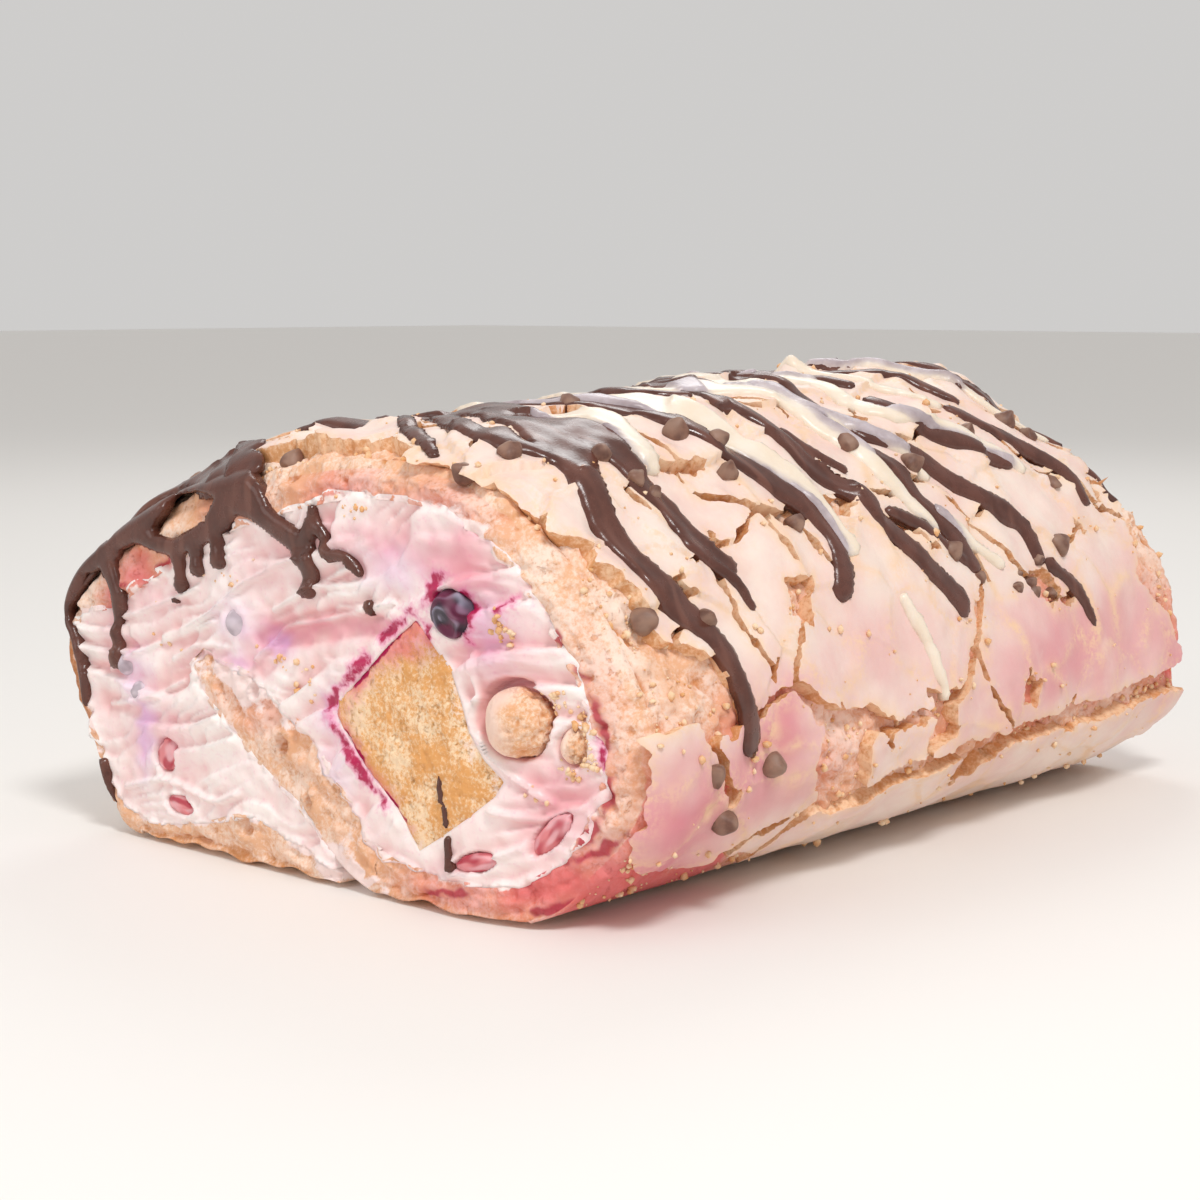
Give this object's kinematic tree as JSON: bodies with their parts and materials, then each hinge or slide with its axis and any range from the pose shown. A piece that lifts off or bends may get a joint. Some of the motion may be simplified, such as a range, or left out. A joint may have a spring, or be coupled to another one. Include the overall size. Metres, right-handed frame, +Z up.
{
  "type": "meringue roll cake",
  "caption": "Rolled meringue log with cream, a sponge strip, berries and a meringue ball showing at its cut ends, drizzled with chocolate and set with chocolate chips.",
  "frame": {"origin": "the middle of the base, at the centre of the object's box seen from above, on the surface that it stands on", "axes": "+X along the roll from the cut front face to the far end, +Y to the left as the cut face is seen, +Z up"},
  "size_m": [0.2542, 0.1989, 0.1156],
  "materials": {
    "meringue": "dry cracked meringue crust over porous crumb",
    "cream": "soft whipped cream, smeared by the knife",
    "sponge": "fine golden sponge crumb with jam at its edges",
    "blueberry": "dark berry skin, wrinkled and partly veiled in cream",
    "strawberry": "wet cut fruit",
    "dark_chocolate": "set dark chocolate with a satin gloss",
    "white_chocolate": "set white chocolate with a satin gloss"
  },
  "bodies": {
    "root": {"meringue_sheet": "meringue", "cream_filling": "cream", "sponge_strip": "sponge", "meringue_ball": "meringue", "meringue_bit": "meringue", "meringue_ball_far": "meringue", "blueberry_1": "blueberry", "blueberry_2": "blueberry", "blueberry_3": "blueberry", "blueberry_4": "blueberry", "blueberry_far_1": "blueberry", "blueberry_far_2": "blueberry", "strawberry_1": "strawberry", "strawberry_2": "strawberry", "strawberry_3": "strawberry", "strawberry_4": "strawberry", "strawberry_far_1": "strawberry", "strawberry_far_2": "strawberry"}
  },
  "joints": []
}
